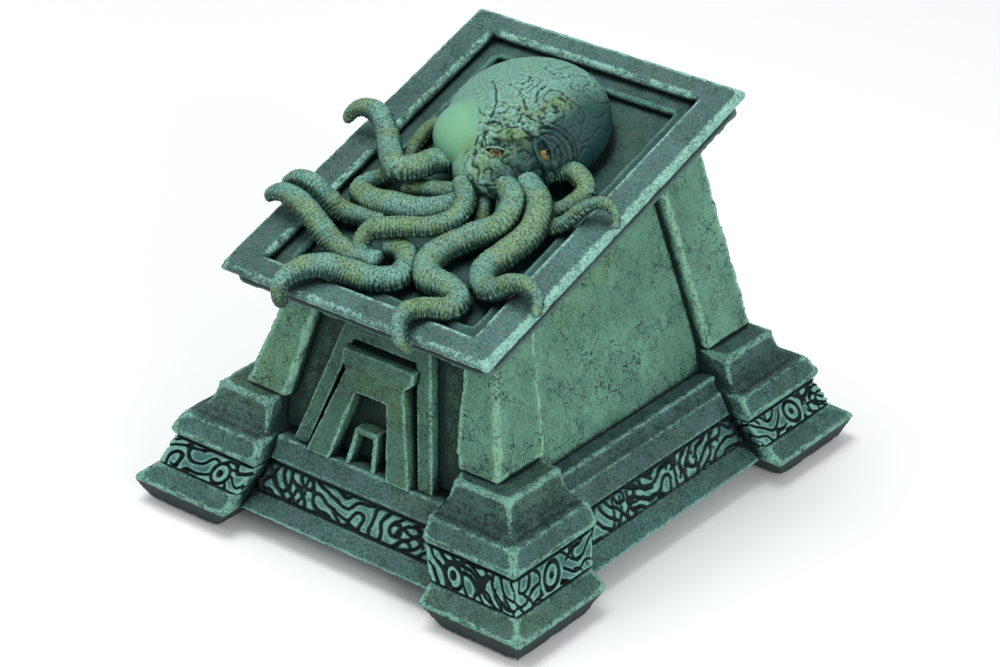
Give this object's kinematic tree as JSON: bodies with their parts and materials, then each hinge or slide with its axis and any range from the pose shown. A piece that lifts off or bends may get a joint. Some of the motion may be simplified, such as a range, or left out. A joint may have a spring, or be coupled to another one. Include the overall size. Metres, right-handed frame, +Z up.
{
  "type": "dice tower",
  "caption": "Resin dice tower shaped as a battered tomb on a stepped plinth, with a sloping lift-off lid carrying an octopus in high relief and hidden ramps inside.",
  "frame": {"origin": "middle of the footprint, on the surface that the felt pads rest on", "axes": "+Z up, +Y towards the rear wall with the outlet, +X to the right as seen from the false door at the front"},
  "size_m": [0.18, 0.2024, 0.1549],
  "materials": {
    "verdigris_resin": "cold-cast resin, dark green-black washed, dry-brushed mint on the edges",
    "carved_resin": "carved frieze with near-black grooves and teal high points",
    "lid_resin": "grey-green mottled resin with mint edges",
    "dark_resin": "near-black teal, satin",
    "octopus_resin": "mint-green skin with ochre patches, satin",
    "eye_glaze": "gloss varnish over ochre paint",
    "inner_resin": "unpainted dark resin, matte",
    "felt": "dark felt"
  },
  "bodies": {
    "tower": {"felt_pad_front_left": "felt", "felt_pad_front_right": "felt", "felt_pad_rear_left": "felt", "felt_pad_rear_right": "felt", "corner_foot_front_left": "verdigris_resin", "corner_foot_front_right": "verdigris_resin", "corner_foot_rear_left": "verdigris_resin", "corner_foot_rear_right": "verdigris_resin", "corner_frieze_front_left": "carved_resin", "corner_frieze_front_right": "carved_resin", "corner_frieze_rear_left": "carved_resin", "corner_frieze_rear_right": "carved_resin", "corner_cornice_front_left": "verdigris_resin", "corner_cornice_front_right": "verdigris_resin", "corner_cornice_rear_left": "verdigris_resin", "corner_cornice_rear_right": "verdigris_resin", "pilaster_front_left": "verdigris_resin", "pilaster_front_right": "verdigris_resin", "pilaster_rear_left": "verdigris_resin", "pilaster_rear_right": "verdigris_resin", "plinth_run_front": "carved_resin", "plinth_run_left": "carved_resin", "plinth_run_right": "carved_resin", "plinth_run_rear_left": "carved_resin", "plinth_run_rear_right": "carved_resin", "front_wall": "verdigris_resin", "rear_wall": "verdigris_resin", "left_wall": "verdigris_resin", "right_wall": "verdigris_resin", "top_collar": "dark_resin", "door_surround": "verdigris_resin", "doorway": "verdigris_resin", "niche_frame": "verdigris_resin", "chamber_floor": "inner_resin", "upper_ramp": "inner_resin", "lower_ramp": "inner_resin", "ramp_ledger_left": "inner_resin", "ramp_ledger_right": "inner_resin"},
    "lid": {"lid_frame": "lid_resin", "lid_ledge": "lid_resin", "lid_panel": "dark_resin", "lid_under_rim": "dark_resin", "lid_lip": "dark_resin", "octopus_head": "octopus_resin", "eye_left": "eye_glaze", "eye_right": "eye_glaze", "arm_left_upper": "octopus_resin", "arm_middle_coil": "octopus_resin", "arm_front_long": "octopus_resin", "arm_left_lower": "octopus_resin", "arm_front_loop": "octopus_resin", "arm_left_middle": "octopus_resin", "arm_right_lower": "octopus_resin", "arm_right_upper": "octopus_resin", "arm_left_fold": "octopus_resin", "arm_left_short": "octopus_resin", "arm_left_hook": "octopus_resin", "arm_inner_left": "octopus_resin", "arm_inner_right": "octopus_resin"}
  },
  "joints": [
    {"name": "lid_lift", "type": "slide", "parent": "tower", "child": "lid", "axis": [0, -0.3181, 0.948], "range_m": [0, 0.12]}
  ]
}
